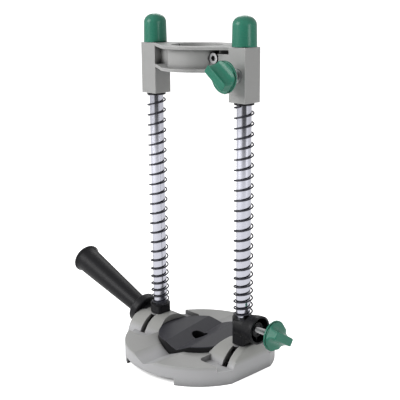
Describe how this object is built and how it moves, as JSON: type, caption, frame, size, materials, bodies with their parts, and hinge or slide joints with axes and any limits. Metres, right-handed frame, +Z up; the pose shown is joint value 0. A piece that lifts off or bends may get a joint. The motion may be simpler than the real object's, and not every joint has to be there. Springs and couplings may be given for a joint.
{
  "type": "portable drill stand",
  "caption": "Portable drill stand: round cast base with tilting sprung guide posts, a sliding yoke with a clamp collar, wing knobs and a side handle.",
  "frame": {"origin": "centre of the base on the bench, midway between the two posts", "axes": "+Z up along the upright posts; +X from the left post (handle side) to the right post (angle lock side); the posts tilt towards -Y"},
  "size_m": [0.2638, 0.1312, 0.2925],
  "materials": {
    "cast_grey": "satin cast",
    "green_plastic": "semi-matte",
    "black_plastic": "semi-matte",
    "insert_plastic": "satin",
    "rod_chrome": "polished",
    "fastener_steel": "zinc plated",
    "spring_steel": "blackened",
    "pad_brass": "plain"
  },
  "bodies": {
    "base": {"base": "cast_grey", "handle_stud": "fastener_steel", "handle_guard": "black_plastic", "handle_grip": "black_plastic"},
    "insert": {"drill_insert": "insert_plastic"},
    "posts": {"foot_left": "black_plastic", "foot_right": "black_plastic", "clamp_shoe_left": "fastener_steel", "clamp_shoe_right": "fastener_steel", "post_screws": "fastener_steel", "post_washers": "fastener_steel", "rod_left": "rod_chrome", "rod_right": "rod_chrome", "cap_left": "green_plastic", "cap_right": "green_plastic", "angle_lock_nut": "fastener_steel", "spring_left": "spring_steel", "spring_right": "spring_steel"},
    "angle_lock": {"angle_lock_stud": "fastener_steel", "angle_lock_knob": "green_plastic"},
    "yoke": {"yoke": "cast_grey", "guide_bush_left": "black_plastic", "guide_bush_right": "black_plastic", "collar_clamp_screw": "fastener_steel", "collar_clamp_nut": "fastener_steel", "height_lock_sleeve": "fastener_steel", "height_lock_pad": "pad_brass"},
    "height_lock": {"height_lock_stud": "fastener_steel", "height_lock_knob": "green_plastic"}
  },
  "joints": [
    {"name": "post_tilt", "type": "hinge", "parent": "base", "child": "posts", "pos_m": [0, 0, 0.0029], "axis": [1, 0, 0], "range_deg": [0, 45]},
    {"name": "insert_turn", "type": "hinge", "parent": "base", "child": "insert", "pos_m": [0, 0, 0.0088], "axis": [0, 0, 1], "continuous": true},
    {"name": "angle_lock_turn", "type": "hinge", "parent": "posts", "child": "angle_lock", "pos_m": [0.07, 0, 0.0421], "axis": [1, 0, 0], "range_deg": [0, 360]},
    {"name": "yoke_slide", "type": "slide", "parent": "posts", "child": "yoke", "axis": [0, 0, -1], "range_m": [0, 0.13], "stiffness_N_per_m": 150, "springref_m": -0.08, "deforming": ["spring_left", "spring_right"]},
    {"name": "height_lock_turn", "type": "hinge", "parent": "yoke", "child": "height_lock", "pos_m": [0.0513, -0.01, 0.2473], "axis": [0, -1, 0], "range_deg": [0, 360]}
  ]
}
